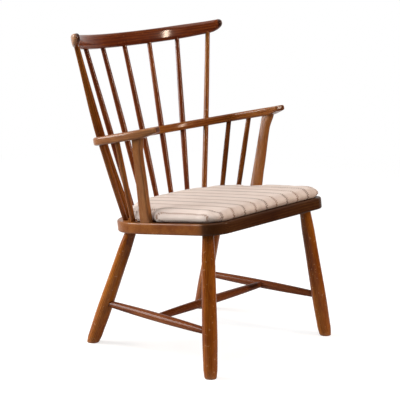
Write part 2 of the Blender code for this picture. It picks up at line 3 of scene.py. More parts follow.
import bpy
import numpy as np
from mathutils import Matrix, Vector


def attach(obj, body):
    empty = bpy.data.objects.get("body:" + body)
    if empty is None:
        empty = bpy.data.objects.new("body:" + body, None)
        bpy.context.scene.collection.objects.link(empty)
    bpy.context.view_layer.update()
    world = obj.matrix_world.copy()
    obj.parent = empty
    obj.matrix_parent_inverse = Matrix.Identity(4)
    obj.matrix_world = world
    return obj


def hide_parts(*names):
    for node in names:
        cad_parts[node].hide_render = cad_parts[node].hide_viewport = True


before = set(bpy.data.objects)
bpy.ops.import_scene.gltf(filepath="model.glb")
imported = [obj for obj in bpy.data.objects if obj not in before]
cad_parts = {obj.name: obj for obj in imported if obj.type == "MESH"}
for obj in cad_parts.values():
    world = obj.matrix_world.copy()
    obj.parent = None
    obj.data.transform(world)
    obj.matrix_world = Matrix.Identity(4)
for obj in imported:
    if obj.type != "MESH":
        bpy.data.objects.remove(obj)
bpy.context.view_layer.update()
print("frame loaded")

# x runs across the chair, -y to the front, z up; metres throughout
# what comes in pairs is given on the sitter's right, where x is below 0
hands = ((1, "right"), (-1, "left"))


# Points along lines

def onSide(side, *points):
    # as given for 1, mirrored for -1
    return [np.array(point, float) * (side, 1, 1) for point in points]


def tiltedPlane(height, behind, degrees):
    # a plane that falls towards the back: axes (right, back down the slope, square to it) and origin
    t = math.radians(degrees)
    axes = np.array([(1, 0, 0), (0, math.cos(t), -math.sin(t)), (0, math.sin(t), math.cos(t))])
    return {"axes": axes, "origin": np.array([0, behind, height])}


def on(plane, points):
    return np.asarray(points) @ plane["axes"] + plane["origin"]


def inside(plane, points):
    return (np.asarray(points) - plane["origin"]) @ plane["axes"].T


def meet(start, direction, plane, above=0.0):
    # start + direction * (distance to this level above the plane / closing speed)
    normal = plane["axes"][2]
    return start + direction * ((plane["origin"] - start) @ normal + above) / (direction @ normal)


def unit(v):
    return v / np.linalg.norm(v, axis=-1, keepdims=True)


def share(t, start, stop):
    # evenly from 0 at start to 1 at stop, and level beyond them
    return np.clip((t - start) / (stop - start), 0, 1)


def eased(t, stops):
    # smoothstep 3s^2 - 2s^3 between (place, value) stops
    places, values = np.array(stops).T
    t = np.clip(t, places[0], places[-1])
    k = np.clip(np.searchsorted(places, t, "right") - 1, 0, len(places) - 2)
    s = (t - places[k]) / (places[k + 1] - places[k])
    return values[k] + (values[k + 1] - values[k]) * s * s * (3 - 2 * s)


def measured(points):
    # distance along a line of points, at each of them
    return np.concatenate([[0], np.cumsum(np.linalg.norm(np.diff(points, axis=0), axis=1))])


def atLengths(points, lengths):
    along = measured(points)
    return np.stack([np.interp(lengths, along, points[:, k]) for k in range(points.shape[1])], -1)


def evenly(outline, count):
    # even steps round a closed line
    return atLengths(outline, np.arange(count) / count * measured(outline)[-1])


def catmullRom(points, steps):
    # cubic through every point, its slope at each one half the way between the two neighbours
    p = np.asarray(points, float)
    p = np.concatenate([[2 * p[0] - p[1]], p, [2 * p[-1] - p[-2]]])
    a, b, c, d = (p[i : len(p) - 3 + i, None] for i in range(4))
    t = (np.arange(steps) / steps)[None, :, None]
    curve = (2 * b + (c - a) * t + (2 * a - 5 * b + 4 * c - d) * t**2 + (3 * b - a - 3 * c + d) * t**3) / 2
    return np.concatenate([curve.reshape(-1, p.shape[1]), p[-2:-1]])


def squared(v, roundness):
    # bends a circle's cosine or sine so that |x|^r + |y|^r = 1
    return np.sign(v) * np.abs(v) ** (2 / roundness)


def squircle(tall, roundness, count):
    # |2x|^r + |2y|^r = 1, at steps that are even when it is this tall to a width of 1
    a = np.linspace(0, math.tau, 2401)
    edge = np.stack([squared(np.cos(a), roundness) / 2, squared(np.sin(a), roundness) * tall / 2], -1)
    x, y = evenly(edge, count).T
    return x, y / tall


# Meshes

grainShift = np.array([0.113, 0.071, 0.37])  # from piece to piece, as if each were cut from another place


def skin(name, rings, grain, **marks):
    # a closed surface over two parameters: rings[i, j] is the point at step i along the piece and j round it,
    # and each end closes on the middle of its ring. grain has the same shape: the point's place in the
    # straightened piece. marks are further numbers for each point, such as wear.
    n, m = rings.shape[:2]
    i, j = np.meshgrid(np.arange(n - 1), np.arange(m), indexing="ij")
    k = (j + 1) % m
    quads = np.stack([i * m + j, i * m + k, (i + 1) * m + k, (i + 1) * m + j], -1).reshape(-1, 4)
    first = np.stack([np.full(m, n * m), k[0], j[0]], -1)
    last = np.stack([np.full(m, n * m + 1), (n - 1) * m + j[0], (n - 1) * m + k[0]], -1)
    points = withEnds(rings)
    if signedVolume(points, quads) < 0:
        quads, first, last = quads[:, ::-1], first[:, ::-1], last[:, ::-1]
    mesh = bpy.data.meshes.new(name)
    mesh.from_pydata(points, [], quads.tolist() + first.tolist() + last.tolist())
    store(mesh, "grain", withEnds(grain + len(bpy.data.meshes) * grainShift))
    for title, values in marks.items():
        store(mesh, title, withEnds(values))
    mesh.shade_smooth()
    return placed(name, mesh)


def placed(name, data):
    thing = bpy.data.objects.new(name, data)
    bpy.context.scene.collection.objects.link(thing)
    return thing


def withEnds(values):
    # the values at all points, then those at the middles of the first and the last ring
    return np.concatenate([values.reshape(-1, *values.shape[2:]), [values[0].mean(0), values[-1].mean(0)]])


def signedVolume(points, quads):
    # sum of the signed tetrahedra between the middle of the piece and each face
    p = points[quads] - points.mean(0)
    return (np.cross(p[:, 0], p[:, 1]) * p[:, 2]).sum() + (np.cross(p[:, 0], p[:, 2]) * p[:, 3]).sum()


def store(mesh, title, values):
    # a number or a vector for each point
    kind, field = ("FLOAT", "value") if values.ndim == 1 else ("FLOAT_VECTOR", "vector")
    attribute = mesh.attributes.new(title, kind, "POINT")
    attribute.data.foreach_set(field, np.ascontiguousarray(values, np.float32).ravel())


def finished(piece, material, node):
    piece.data.materials.append(material)
    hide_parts(node)
    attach(piece, "cushion" if node == "seat_cushion" else "frame")


# Materials

def linear(hexColour):
    # sRGB hex to linear: c / 12.92 below 0.04045, else ((c + 0.055) / 1.055)^2.4
    c = np.array([int(hexColour[i : i + 2], 16) / 255 for i in (1, 3, 5)])
    return (*np.where(c <= 0.04045, c / 12.92, ((c + 0.055) / 1.055) ** 2.4), 1.0)


def add(tree, kind, inputs=(), **settings):
    # one node with its settings
    node = tree.nodes.new("ShaderNode" + kind)
    for title, value in settings.items():
        setattr(node, title, value)
    return feed(tree, node, inputs)


def feed(tree, node, inputs):
    # inputs by title or in order; each takes a value, or a node or (node, output) to link from
    for title, value in inputs.items() if isinstance(inputs, dict) else enumerate(inputs):
        source = value if isinstance(value, tuple) else (value, 0)
        if isinstance(source[0], bpy.types.Node):
            tree.links.new(source[0].outputs[source[1]], node.inputs[title])
        else:
            node.inputs[title].default_value = value
    return node


def fromRange(ends):
    return {"From Min": ends[0], "From Max": ends[1]}


def newMaterial(name):
    material = bpy.data.materials.new(name)
    material.use_nodes = True
    return material, material.node_tree, material.node_tree.nodes["Principled BSDF"]


woodFinish = {
    # for each kind of piece: late wood, middle and early wood, how strong its knocks are, and its lacquer
    "turned": ("#682d06", "#8a480d", "#a8651e", 0.32, 0.4),
    "stick": ("#461808", "#662b0c", "#834318", 0.1, 0.65),
    # the stretchers' wood is drawn darker than the legs' as painted shade under the seat, and has less lacquer
    "stretcher": ("#4b200e", "#6b3516", "#864c26", 0.1, 0.2),
    "bent": ("#5c2a0a", "#7b4011", "#9a6126", 0.1, 0.35),
    "board": ("#542811", "#7b4219", "#a0672f", 0.1, 0.25),
    # the pale colour serves wear and painted highlights, the dark one grime and painted shade
    "wornAndLit": "#c2946c", "grime": "#1a0803",
    "ringWidth": 0.0035,
    "fibre": (0.0009, 0.045),  # width and length
    "pore": (0.0007, 0.009),  # real pores are 0.1 mm wide: drawn coarser so that they show
    "patch": (0.07, 0.20),  # of lighter and darker wood
    "waves": (18, 18, 3.2),  # slow bends of the rings and fibres, per metre across and along
    "sway": 0.012,  # how far they bend
    "weights": {"rings": 0.10, "fibres": 0.52, "patches": 0.43},  # of the patterns in the tone
    "tones": (0.37, 0.51, 0.65),  # where late, middle and early wood are pure
    "poreRange": (0.62, 0.74), "poreDepth": 0.5,
    "knockSize": 0.006, "knockRange": (0.74, 0.80),
    "roughness": (0.30, 0.48),
    "grimeRoughness": 0.4,  # added where it is dirty and where shade is painted
    "lacquerRoughness": 0.12,
}


def stainedBeech(name, kind):
    # Steamed beech, planed and turned, stained mid brown and lacquered: straight fine grain with short dark
    # flecks, a soft shine, lighter where hands and clothes rub it and with painted highlights where the light
    # falls, and darker where the sticks enter and with painted shade.
    f = woodFinish
    dark, middle, light, knocked, lacquer = f[kind]
    material, tree, shader = newMaterial(name)
    # the wear marks carry painted highlights too, and the grime marks painted shade
    place, wear, dirtAndShade = (
        (add(tree, "Attribute", attribute_name=title), output)
        for title, output in (("grain", "Vector"), ("wear", "Fac"), ("grime", "Fac"))
    )
    waves = add(tree, "Mapping", {"Vector": place, "Scale": f["waves"]})
    waves = add(tree, "TexNoise", {"Vector": waves, "Scale": 1.0})
    sway = add(tree, "VectorMath", [(waves, "Color"), (-0.5, -0.5, -0.5)], operation="ADD")
    sway = add(tree, "VectorMath", [sway, (f["sway"], f["sway"], 0.0)], operation="MULTIPLY")
    wavy = add(tree, "VectorMath", [place, sway], operation="ADD")
    sawn = add(tree, "Mapping", {"Vector": wavy, "Rotation": (0, 0, 0.5), "Scale": (1, 1, 0.04)})
    # a wave texture repeats every pi / 10 / scale of its vector
    rings = add(tree, "TexWave",
                {"Vector": sawn, "Scale": math.pi / 10 / f["ringWidth"],
                 "Distortion": 1.6, "Detail Scale": 1.2})
    patterns = {"rings": (rings, "Fac")}
    for title, vector, (across, along), detail, roughness in (
        ("fibres", wavy, f["fibre"], 3.0, 0.6),
        ("pores", wavy, f["pore"], 0.0, 0.5),
        ("patches", place, f["patch"], 3.0, 0.5),
    ):
        scaled = add(tree, "Mapping", {"Vector": vector, "Scale": (1 / across, 1 / across, 1 / along)})
        patterns[title] = add(tree, "TexNoise",
                              {"Vector": scaled, "Scale": 1.0, "Detail": detail, "Roughness": roughness})
    fibres = patterns["fibres"]
    # tone of the wood: the patterns by their weights
    tone = 0.0
    for title, weight in f["weights"].items():
        tone = add(tree, "Math", [patterns[title], weight, tone], operation="MULTIPLY_ADD")
    lower = add(tree, "MapRange", {"Value": tone, **fromRange(f["tones"][:2])})
    upper = add(tree, "MapRange", {"Value": tone, **fromRange(f["tones"][1:])})
    pore = add(tree, "MapRange", {"Value": patterns["pores"], **fromRange(f["poreRange"])})
    fleck = add(tree, "Math", [pore, f["poreDepth"]], operation="MULTIPLY")
    # pale where rubbed, and painted highlights
    rubbedAndLit = add(tree, "Math", [wear, fibres], operation="MULTIPLY")
    # small knocks that broke the stain
    knock = add(tree, "TexNoise", {"Vector": place, "Scale": 1 / f["knockSize"], "Detail": 0.0})
    knock = add(tree, "MapRange", {"Value": knock, **fromRange(f["knockRange"]), "To Max": knocked})
    # each colour is laid over the ones before it
    colour = linear(dark)
    for factor, tint in ((lower, middle), (upper, light), (fleck, dark), (rubbedAndLit, f["wornAndLit"]),
                         (knock, f["wornAndLit"]), (dirtAndShade, f["grime"])):
        colour = (add(tree, "Mix", {"Factor": factor, 6: colour, 7: linear(tint)}, data_type="RGBA"), 2)
    rough = add(tree, "MapRange", {"Value": fibres, "To Min": f["roughness"][0], "To Max": f["roughness"][1]})
    rough = add(tree, "Math", [dirtAndShade, f["grimeRoughness"], rough], operation="MULTIPLY_ADD")
    height = add(tree, "Math", [fibres, pore], operation="SUBTRACT")
    bump = add(tree, "Bump", {"Height": height, "Strength": 0.2, "Distance": 0.0003})
    feed(tree, shader, {
        "Base Color": colour, "Roughness": rough, "Normal": bump, "IOR": 1.5,
        "Specular IOR Level": 0.05,  # the stain leaves the wood itself dull under its lacquer
        "Coat Weight": lacquer, "Coat Roughness": f["lacquerRoughness"],
    })
    return material


clothFinish = {
    "ground": "#e3d4ca", "shade": "#ccbaaf",
    "stripes": ("#63402d", "#84583a"),  # every other one
    "spacing": 0.0464,
    "stroke": 0.0050,  # width of the drawn line across the stripe
    "strokeEdge": (0.2, 0.8),  # where it fades, as shares of that
    "strokeDepth": 0.95,
    "zigzag": 0.0031,  # how far it swings to each side
    "zigzagStep": 0.0080,
    "thread": 0.0016,  # real threads are 0.5 mm: drawn coarser so that they show
    "slub": (620, 120, 0),  # thicker stretches of yarn, per metre across and along the stripes
    "slubWeight": 0.45,
    "slubGaps": (0.26, 0.46),  # where they break the stripes
    "cloud": (60, 22, 0),  # slow changes of tone
    "weaveWeight": 0.20,
    "tones": (0.55, 1.25),
}


def wovenStripe(name):
    # Upholstery cotton in a plain weave with herringbone stripes: matt, soft at its edges, slubby in tone.
    f = clothFinish
    material, tree, shader = newMaterial(name)
    place = (add(tree, "Attribute", attribute_name="weave"), "Vector")
    parts = add(tree, "SeparateXYZ", [place])
    # the stripe's middle swings as a sine along it, which leaves a darker dot at each turn of the herringbone
    turn = add(tree, "Math", [(parts, "Y"), math.tau / f["zigzagStep"]], operation="MULTIPLY")
    turn = add(tree, "Math", [turn], operation="SINE")
    swing = add(tree, "Math", [turn, f["zigzag"], (parts, "X")], operation="MULTIPLY_ADD")
    slub, cloud = (
        add(tree, "TexNoise", {"Vector": add(tree, "Mapping", {"Vector": place, "Scale": scale}),
                               "Scale": 1.0, "Detail": detail})
        for scale, detail in ((f["slub"], 2.0), (f["cloud"], 4.0))
    )
    warp, weft = (
        add(tree, "TexWave",
            {"Vector": place, "Scale": math.pi / 10 / f["thread"], "Distortion": 1.0, "Detail Scale": 3.0},
            bands_direction=axis)
        for axis in ("X", "Y")
    )
    weave = add(tree, "Math", [(warp, "Fac"), (weft, "Fac")], operation="ADD")
    tone = add(tree, "Math", [weave, f["weaveWeight"], cloud], operation="MULTIPLY_ADD")
    tone = add(tree, "Math", [slub, f["slubWeight"], tone], operation="MULTIPLY_ADD")
    tone = add(tree, "MapRange", {"Value": tone, **fromRange(f["tones"])})
    shade, ground = linear(f["shade"]), linear(f["ground"])
    colour = (add(tree, "Mix", {"Factor": tone, 6: shade, 7: ground}, data_type="RGBA"), 2)
    broken = add(tree, "MapRange", {"Value": slub, **fromRange(f["slubGaps"])})
    height = add(tree, "Math", [weave, slub], operation="ADD")
    edge = fromRange([f["stroke"] * part for part in f["strokeEdge"]])
    for k, stripe in enumerate(f["stripes"]):
        # distance to the nearest stripe of this colour, which repeats at twice the spacing
        apart = add(tree, "Math", [swing, f["spacing"] * (0.5 + k)], operation="ADD")
        apart = add(tree, "Math", [apart, f["spacing"], -f["spacing"]], operation="WRAP")
        apart = add(tree, "Math", [apart], operation="ABSOLUTE")
        line = add(tree, "MapRange", {"Value": apart, **edge, "To Min": f["strokeDepth"], "To Max": 0.0})
        line = add(tree, "Math", [line, broken], operation="MULTIPLY")
        colour = (add(tree, "Mix", {"Factor": line, 6: colour, 7: linear(stripe)}, data_type="RGBA"), 2)
        height = add(tree, "Math", [height, line], operation="ADD")
    bump = add(tree, "Bump", {"Height": height, "Strength": 0.5, "Distance": 0.0004})
    feed(tree, shader, {"Base Color": colour, "Normal": bump, "Roughness": 0.92, "Specular IOR Level": 0.3,
                        "Sheen Weight": 0.2, "Sheen Roughness": 0.4})
    return material


# Seat board

seatBoard = {
    "plane": tiltedPlane(0.3740, 0, 7.6),
    "thickness": 0.0315, "halfWidth": 0.2435, "front": -0.2845, "back": 0.1640,
    "sideEnd": -0.0625,  # where the straight sides end and the curved back starts
    "curve": 3.2, "corner": 0.054, "edge": 0.0045, "middle": (0, -0.06),
    "around": 360,  # points of its outline
    "spokes": (0.05, 0.35, 0.65, 0.88, 0.97),  # rings on the flats, as shares of the way out from the middle
    "arris": (-0.002, 0.0035),  # the level where it is rubbed most, and how far from there
    "edgeWear": 0.10, "frontWear": 0.15,
    "wornFrom": (-0.18, -0.28),  # where that comes in
    "frontStain": 0.80,  # painted shade: the front edge, which turns away from the light, is drawn darker
    "paintedFrontShadeFrom": (-0.2052, -0.2352),
    # painted shadow of the cushion on the board: darker on the flat of its top and the start of the arris, ring
    # by ring
    "paintedCushionShadow": (0.75,) * 5 + (0.80, 0.55),
    "paintedCushionShadowTo": 0.02,
}


def curvedBack(halfWidth, back, curve):
    # a superellipse from the left side round the back to the right, centred at the end of the straight sides
    a = np.linspace(math.pi / 2, -math.pi / 2, 400)
    start = seatBoard["sideEnd"]
    x, y = halfWidth * squared(np.sin(a), curve), (back - start) * squared(np.cos(a), curve)
    return np.stack([x, y + start], -1)


def frontCorner(wide, front, radius, count):
    # a quarter circle from the front edge to the side
    a = np.linspace(0, math.pi / 2, count)
    return np.stack([wide - radius * (1 - np.sin(a)), front + radius * (1 - np.cos(a))], -1)


def boardOutline(count):
    # quarter circles in front, straight sides, the superellipse behind; even steps from the middle of the front
    s = seatBoard
    corner = frontCorner(s["halfWidth"], s["front"], s["corner"], 40)
    back = curvedBack(s["halfWidth"], s["back"], s["curve"])
    start = [(0, s["front"])]
    return evenly(np.concatenate([start, corner, back, corner[::-1] * (-1, 1), start]), count)


def outward(outline):
    # the outline's normal: the neighbours' difference turned a quarter
    t = unit(np.roll(outline, -1, 0) - np.roll(outline, 1, 0))
    return np.stack([t[:, 1], -t[:, 0]], -1)


def makeSeat():
    # from the middle of the top, out over the rounded arris, down the side and back under:
    # outline - normal * inset at each level, and on the flats middle + (outline - middle) * share
    s = seatBoard
    r, thick = s["edge"], s["thickness"]
    outline = boardOutline(s["around"])
    normal = outward(outline)
    q = np.linspace(0, math.pi / 2, 7)
    inset = np.concatenate([r * (1 - np.sin(q)), np.zeros(3), r * (1 - np.cos(q))])
    side = -r - (thick - 2 * r) * np.array([0.25, 0.5, 0.75])
    shares = np.array(s["spokes"])[:, None, None]
    level = np.concatenate([0 * shares.ravel(), -r * (1 - np.cos(q)), side, -thick + r * (1 - np.sin(q)),
                            0 * shares.ravel() - thick])
    flat = s["middle"] + (outline - normal * r - s["middle"]) * shares
    flat = np.concatenate([flat, outline - normal * inset[:, None, None], flat[::-1]])
    rings = np.concatenate([flat, level[:, None, None] + 0 * flat[..., :1]], -1)
    arris = np.exp(-(((rings[..., 2] - s["arris"][0]) / s["arris"][1]) ** 2))
    wear = (s["frontWear"] * share(rings[..., 1], *s["wornFrom"]) + s["edgeWear"]) * arris
    offTop = np.arange(len(rings)) >= len(shares)
    # painted shade on the front edge, darker towards the front, off the top
    grime = s["frontStain"] * share(outline[:, 1], *s["paintedFrontShadeFrom"]) ** 2 * offTop[:, None]
    # painted shadow where the cushion rests on the board, near its front
    top = rings[: len(s["paintedCushionShadow"])]
    paintedCushionShadow = np.array(s["paintedCushionShadow"])[:, None] * (top[..., 1] < s["paintedCushionShadowTo"])
    grime[: len(top)] = np.maximum(grime[: len(top)], paintedCushionShadow)
    return skin("seatBoard", on(s["plane"], rings), rings[..., [1, 2, 0]], wear=wear, grime=grime)


# Sticks, posts, legs and stretchers

roundSticks = {
    # foot, head and the name of its mirror image
    "back_spindle_3": ((0, 0.1403, 0.3553), (0, 0.2766, 0.8315), None),
    "back_spindle_2": ((-0.0575, 0.1388, 0.3555), (-0.0975, 0.2685, 0.8335), "back_spindle_4"),
    "back_spindle_1": ((-0.1142, 0.1299, 0.3567), (-0.1915, 0.2422, 0.8401), "back_spindle_5"),
    "arm_spindle_rear_right": ((-0.2039, 0.0784, 0.3635), (-0.2715, 0.1051, 0.5897), "arm_spindle_rear_left"),
    "arm_spindle_front_right": ((-0.2222, 0.0326, 0.3697), (-0.2800, 0.0360, 0.6057), "arm_spindle_front_left"),
}
stickSizes = {
    "back": (0.0072, 0.0085, 0.0067),  # radii at the foot, the middle and the head
    "arm": (0.0070, 0.0077, 0.0070),
    "armMiddle": 0.55,  # where an arm stick is thickest; a back stick is where it goes through the arm bow
    "into": {"seat": 0.008, "back": 0.010, "arm": 0.009},
    "rings": 64, "sides": 28,
}


def turned(name, start, end, radiusAt, rings, sides, joined, reach=0.006, wearAt=None, slideAt=None):
    # a profile turned round a straight line: start + direction * s + radius(s) * (a cos + b sin)
    direction = unit(end - start)
    length = np.linalg.norm(end - start)
    a = unit(np.cross(direction, (0, 1, 0) if abs(direction[1]) < 0.9 else (0, 0, 1)))
    b = np.cross(direction, a)
    s = np.linspace(0, 1, rings)[:, None] * length
    angle = np.arange(sides) / sides * math.tau
    u, v = radiusAt(s) * np.cos(angle), radiusAt(s) * np.sin(angle)
    across = u[..., None] * a + v[..., None] * b
    along = s + (slideAt(s, across, direction) if slideAt else 0 * u)
    points = start + along[..., None] * direction + across
    wear = (wearAt(s) if wearAt else 0) + 0 * u
    grime = joints(s, length, *joined, reach=reach) + 0 * u
    return skin(name, points, np.stack([u, v, along], -1), wear=wear, grime=grime)


def joints(s, length, first, last, depth=0.35, reach=0.006):
    # dark where a stick enters, this far from its ends: depth * exp(-distance to the joint / reach)
    return depth * (np.exp(-np.abs(s - first) / reach) + np.exp(-np.abs(length - last - s) / reach))


def makeRoundSticks(backMaterial, armMaterial):
    # radii by smoothstep from foot to middle to head
    z = stickSizes
    for node, (foot, head, twin) in roundSticks.items():
        for side, title in ((1, node), (-1, twin)):
            if title is None:
                continue
            start, end = onSide(side, foot, head)
            way = unit(end - start)
            kind = node.split("_")[0]
            if kind == "back":
                top = meet(start, way, crestRail["plane"], -crestRail["tall"] / 2)
                middle = meet(start, way, armBow["plane"])
            else:
                top = meet(start, way, armBow["plane"], -armBow["thickness"] / 2)
                middle = start + (top - start) * z["armMiddle"]
            stops = [(np.linalg.norm(point - start), r) for point, r in zip((start, middle, top), z[kind])]
            low, high = z["into"]["seat"], z["into"][kind]
            piece = turned(title + "Stick", start - way * low, top + way * high, lambda s: eased(s - low, stops),
                           z["rings"], z["sides"], (low, high))
            finished(piece, backMaterial if kind == "back" else armMaterial, title)


outerStick = {
    "foot": (-0.1588, 0.1068, 0.3597),
    "passing": (-0.2186, 0.1504, 0.5793),  # where it goes through the arm bow
    "head": (-0.2739, 0.1916, 0.8527),
    "wide": (0.0105, 0.0126, 0.0076),  # half widths across the crest: foot, bow, head
    "thick": (0.0078, 0.0078, 0.0068),
    "into": (0.008, 0.010),  # seat, crest
    "clear": 0.004,  # from its last bent point to the crest's underside
    "steps": 24,  # of the bent line between two of its points
    "rings": 80, "sides": 36,
}


def makeOuterSticks(material):
    # an oval carried along a bent line: point + across * wide cos + along the crest * thick sin
    o = outerStick
    heading = crestHeading(3 * crestRail["stickSpacing"])
    for side, hand in hands:
        node = "back_stile_" + hand
        line = catmullRom(onSide(side, o["foot"], o["passing"], o["head"]), o["steps"])
        places = measured(line)[[0, o["steps"], -1]]
        first, last = unit(line[1] - line[0]), unit(line[-1] - line[-2])
        under = meet(line[-1], last, crestRail["plane"], -crestRail["tall"] / 2)
        below = np.linalg.norm(line - line[0], axis=1) < np.linalg.norm(under - line[0]) - o["clear"]
        foot, head = line[0] - first * o["into"][0], under + last * o["into"][1]
        line = np.concatenate([[foot], line[below], [under, head]])
        line = atLengths(line, np.linspace(0, measured(line)[-1], o["rings"]))
        along = measured(line)[:, None]
        tangent = unit(np.gradient(line, axis=0))
        outwards = np.array([-math.sin(heading) * side, math.cos(heading), 0]) @ crestRail["plane"]["axes"]
        across = unit(outwards - tangent * (tangent @ outwards)[:, None])
        other = np.cross(tangent, across)
        angle = np.arange(o["sides"]) / o["sides"] * math.tau
        u = eased(along - o["into"][0], list(zip(places, o["wide"]))) * np.cos(angle)
        v = eased(along - o["into"][0], list(zip(places, o["thick"]))) * np.sin(angle)
        points = line[:, None] + across[:, None] * u[..., None] + other[:, None] * v[..., None]
        grain = np.stack([u, v, along + 0 * u], -1)
        grime = joints(along, along[-1], *o["into"]) + 0 * u
        finished(skin(node + "Stick", points, grain, wear=0 * u, grime=grime), material, node)


post = {
    "foot": (-0.2318, -0.0250, 0.3773),
    "top": (-0.2780, -0.0381, 0.6228),
    "thickness": 0.0175,
    "depths": ((0, 0.0395), (0.12, 0.0350), (0.35, 0.0325), (0.84, 0.0275), (1, 0.0345)),
    "backEdge": 0.0350,  # its back edge stays straight, half of this behind its line
    "into": 0.006, "roundness": 5.0,
    "flatness": 0.5,  # thickness to depth where its points are even round it
    "edgeWear": 0.25,
    "edgeFall": 14,  # how fast that fades towards the back, per metre
    "grime": 0.3,
    "rings": 60, "sides": 48,
}


def makePosts(material):
    # a rounded oblong carried up a straight line, cut parallel to the seat below and to the arm above
    p = post
    for side, hand in hands:
        foot, top = onSide(side, p["foot"], p["top"])
        way = unit(top - foot)
        low = np.linalg.norm(meet(foot, way, armBow["plane"], -armBow["thickness"] / 2) - foot)
        deep = unit(np.array([0, 1, 0]) - way * way[1])
        thick = np.cross(deep, way)
        s = np.concatenate([[-p["into"]], np.linspace(0, low, p["rings"]), [low + p["into"]]])[:, None]
        depth = eased(s / low, p["depths"])
        w, h = squircle(p["flatness"], p["roundness"], p["sides"])
        w, h = w * depth, h * p["thickness"] + 0 * depth
        offset = (w + (p["backEdge"] - depth) / 2)[..., None] * deep + h[..., None] * thick
        # both ends slant with the seat and the arm, and the slant fades out towards the middle
        slant = 0 * w
        for plane, end in ((seatBoard["plane"], 0), (armBow["plane"], low)):
            normal = plane["axes"][2]
            slant -= (offset @ normal) / (way @ normal) * share(s, low / 2, end)
        points = foot + (s + slant)[..., None] * way + offset
        wear = p["edgeWear"] * np.clip(1.2 - p["edgeFall"] * np.abs(w + depth / 2), 0, 1) ** 2
        grime = joints(s + p["into"], s[-1] + p["into"], p["into"], p["into"], p["grime"]) + 0 * w
        node = "arm_post_" + hand
        piece = skin(node + "Shape", points, np.stack([w, h, s + slant], -1), wear=wear, grime=grime)
        finished(piece, material, node)


legs = {
    "front": ((-0.2540, -0.2720, 0), (-0.2093, -0.2241, 0.3721)),  # foot, top
    "back": ((-0.2310, 0.1850, 0), (-0.1875, 0.0727, 0.3325)),
    "radii": ((0.0, 0.0166), (0.07, 0.0190), (0.28, 0.0203), (0.80, 0.0182), (1.0, 0.0155)),
    "footRounding": 0.0012,
    "footLevel": 0.12,  # over this length its rings turn level, so that the foot is flat on the floor
    "footWear": 0.8, "wearReach": 0.006, "grimeReach": 0.007, "into": 0.010,
    "rings": 110, "sides": 40,
}


def legShape(length):
    # radii by smoothstep, and a small quarter circle off the foot's arris
    r = legs["footRounding"]
    return lambda s: eased(s / length, legs["radii"]) - r * quarter(s, r)


def footWear(s):
    # rubbed pale along the floor
    return legs["footWear"] * np.exp(-s / legs["wearReach"])


def levelFoot(s, offset, direction):
    # slides each point along the leg by its height over the leg's line
    return -offset[..., 2] / direction[2] * share(s, legs["footLevel"], 0)


def makeLegs(material):
    for end in ("front", "back"):
        for side, hand in hands:
            node = f"leg_{end}_{hand}"
            foot, top = onSide(side, *legs[end])
            shape = legShape(np.linalg.norm(top - foot))
            head = top + unit(top - foot) * legs["into"]
            piece = turned(node + "Shape", foot, head, shape, legs["rings"], legs["sides"],
                           (-1, legs["into"]), legs["grimeReach"], footWear, levelFoot)
            finished(piece, material, node)


stretchers = {
    "height": 0.1185, "crossAt": -0.0580,
    "middle": 0.01225, "end": 0.0088,  # radii
    "intoLeg": 0.0083,  # from the leg's middle line to the stretcher's end
    "intoSide": 0.00525,
    "legJoint": 0.012,  # where the dark line of the joint is, from the stretcher's end
    "sideJoint": 0.009,
    "rings": 70, "sides": 28,
}


def makeStretcher(title, start, end, joint, material):
    # radius = end + (middle - end) * sin(pi share)^0.8
    z = stretchers
    length = np.linalg.norm(end - start)

    def radius(s):
        return z["end"] + (z["middle"] - z["end"]) * np.sin(math.pi * share(s, 0, length)) ** 0.8

    piece = turned(title + "Shape", start, end, radius, z["rings"], z["sides"], (joint, joint))
    finished(piece, material, title)


def makeStretchers(material):
    z = stretchers
    level = tiltedPlane(z["height"], 0, 0)
    crossings = []
    for side, hand in hands:
        front, back = (meet(foot, unit(top - foot), level)
                       for foot, top in (onSide(side, *legs[end]) for end in ("front", "back")))
        into = unit(back - front) * z["intoLeg"]
        makeStretcher("stretcher_" + hand, front + into, back - into, z["legJoint"], material)
        crossings.append(front + (back - front) * (z["crossAt"] - front[1]) / (back[1] - front[1]))
    right, left = crossings
    into = np.array([z["intoSide"], 0, 0])
    makeStretcher("stretcher_cross", right + into, left - into, z["sideJoint"], material)


# Bent pieces

bentShape = {
    "rings": 180,  # without the ones of its tips
    "sides": 56,
    "tallness": 1.3,  # height to width where its points are even round it
    "faceRings": np.array([0.25, 0.5, 0.72, 0.88, 0.96])[:, None, None],  # on the end faces, from the middle out
    "faceDome": 0.0006,  # how far the end faces stand out
    "faceGrime": 0.5,
}

armBow = {
    "plane": tiltedPlane(0.6140, 0, 13.0),
    "thickness": 0.0235, "width": 0.0320, "roundness": 4.2,
    "tipThickness": 0.0155, "tipRound": 0.0040,
    "tipFlat": 0.80,  # share of its width left at the very tip
    "taper": 0.044,  # length of the thinned tip
    # the right half of its middle line, from the tip through the post and the sticks to the centre
    "line": ((-0.2595, -0.0975), (-0.2780, -0.0391), (-0.2800, 0.0369), (-0.2715, 0.1079), (-0.2186, 0.1544),
             (-0.1487, 0.1852), (-0.0753, 0.2022), (0, 0.2067)),
    "steps": 24,  # of the line between two of its points
    "tips": (0, 0.06, 0.2, 0.4, 0.7, 1),  # its closer rings, as shares of the rounding
    "inner": 1.5,  # where the even ones start
    "handWear": 0.5,
    "handReach": 0.06,
    "handUnder": 0.3,  # share of that on its underside
    # painted highlight along its outer edge, the side that faces the light
    "outsideHighlight": 0.4,
}

